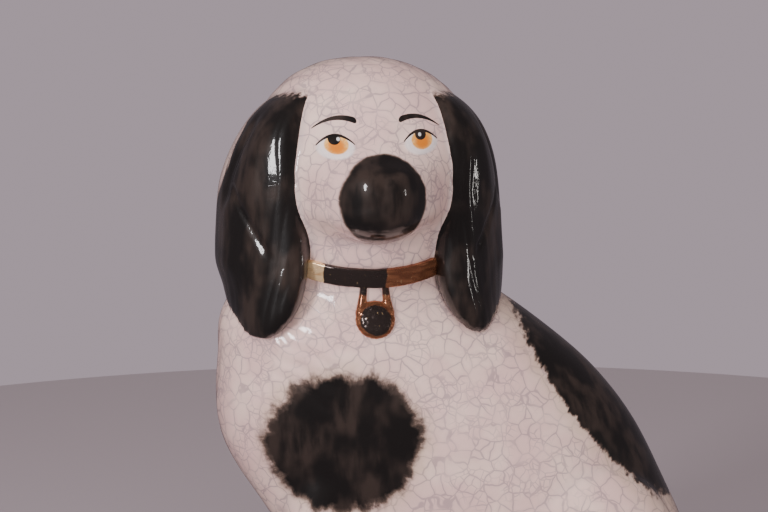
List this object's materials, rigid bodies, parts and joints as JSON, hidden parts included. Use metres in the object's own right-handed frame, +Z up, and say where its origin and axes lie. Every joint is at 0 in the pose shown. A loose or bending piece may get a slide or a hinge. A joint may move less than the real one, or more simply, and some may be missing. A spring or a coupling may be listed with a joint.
{
  "type": "ceramic dog figurine",
  "caption": "Seated spaniel mantel figurine in white crackle glaze, head turned to the side, with black ears and patches and a gold collar with a padlock; stands on a flat base.",
  "frame": {"origin": "centre of the footprint's bounding box, on the surface that the figurine stands on", "axes": "+Z up; the body faces -X; the head is turned to face -Y, the side that is shown; the dog's left legs and its tail are on the -Y side"},
  "size_m": [0.239, 0.1426, 0.2998],
  "materials": {
    "white_glaze": "glossy pinkish-white crackle glaze over cast earthenware",
    "black_glaze": "glossy brushed black underglaze, clear glazed",
    "gold_lustre": "copper-gold lustre fired over the glaze",
    "bare_foot": "unglazed fired clay, wiped foot"
  },
  "bodies": {
    "root": {"torso_shell": "white_glaze", "base_slab": "bare_foot", "head_shell": "white_glaze", "left_ear": "black_glaze", "right_ear": "black_glaze", "collar": "gold_lustre", "padlock_case": "gold_lustre", "padlock_shackle": "gold_lustre", "left_foreleg": "white_glaze", "right_foreleg": "white_glaze", "left_hind_paw": "white_glaze", "right_hind_paw": "white_glaze", "tail": "white_glaze"}
  },
  "joints": []
}
